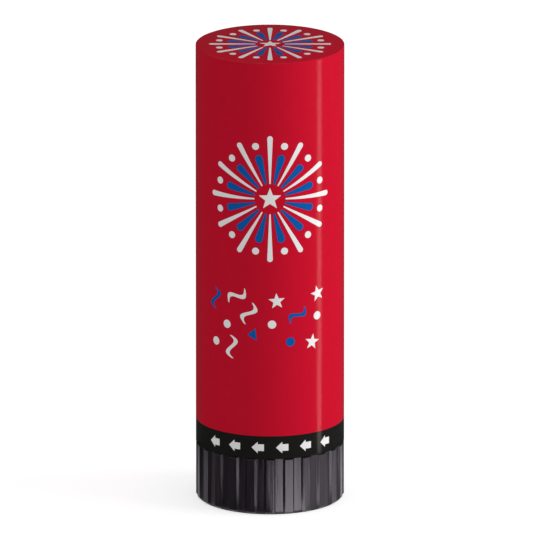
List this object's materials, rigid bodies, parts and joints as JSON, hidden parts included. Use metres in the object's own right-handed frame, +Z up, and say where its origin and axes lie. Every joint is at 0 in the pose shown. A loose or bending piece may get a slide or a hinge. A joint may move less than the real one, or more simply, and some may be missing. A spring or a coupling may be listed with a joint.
{
  "type": "confetti popper",
  "caption": "Hand-held spring confetti popper: a labelled card tube on a ribbed base that twists to free a plunger, which throws paper confetti out through a paper cover.",
  "frame": {"origin": "centre of the foot ring's flat underside", "axes": "+Z up the barrel to the paper cover, -Y out of the printed front"},
  "size_m": [0.035, 0.035, 0.11],
  "materials": {
    "tube_card": "matte",
    "label_paper": "gloss",
    "cover_paper": "gloss",
    "greyboard": "matte",
    "tissue_red": "matte",
    "tissue_white": "matte",
    "plate_plastic": "satin",
    "stem_plastic": "satin",
    "spring_steel": "satin",
    "seat_plastic": "satin",
    "base_plastic": "satin"
  },
  "bodies": {
    "tube_body": {"tube": "tube_card", "label_wrap": "label_paper", "spring_seat": "seat_plastic", "main_spring": "spring_steel"},
    "twist_base": {"twist_base": "base_plastic"},
    "plunger": {"push_plate": "plate_plastic", "release_stem": "stem_plastic", "wad_disc": "greyboard"},
    "confetti_charge": {"confetti_red": "tissue_red", "confetti_white": "tissue_white"},
    "muzzle_cover": {"top_label": "cover_paper", "muzzle_plug": "greyboard"}
  },
  "joints": [
    {"name": "base_twist", "type": "hinge", "parent": "tube_body", "child": "twist_base", "pos_m": [0, 0, 0.0068], "axis": [0, 0, -1], "range_deg": [0, 90], "deforming": ["release_stem"]},
    {"name": "plunger_stroke", "type": "slide", "parent": "tube_body", "child": "plunger", "axis": [0, 0, 1], "range_m": [0, 0.066], "deforming": ["main_spring"]},
    {"name": "confetti_rise", "type": "slide", "parent": "tube_body", "child": "confetti_charge", "axis": [0, 0, 1], "range_m": [0, 0.066]},
    {"name": "cover_lift", "type": "slide", "parent": "tube_body", "child": "muzzle_cover", "axis": [0, 0, 1], "range_m": [0, 0.066]}
  ],
  "couplings": [
    {"joint": "confetti_rise", "follows": "plunger_stroke", "ratio": 1},
    {"joint": "cover_lift", "follows": "plunger_stroke", "ratio": 1}
  ]
}
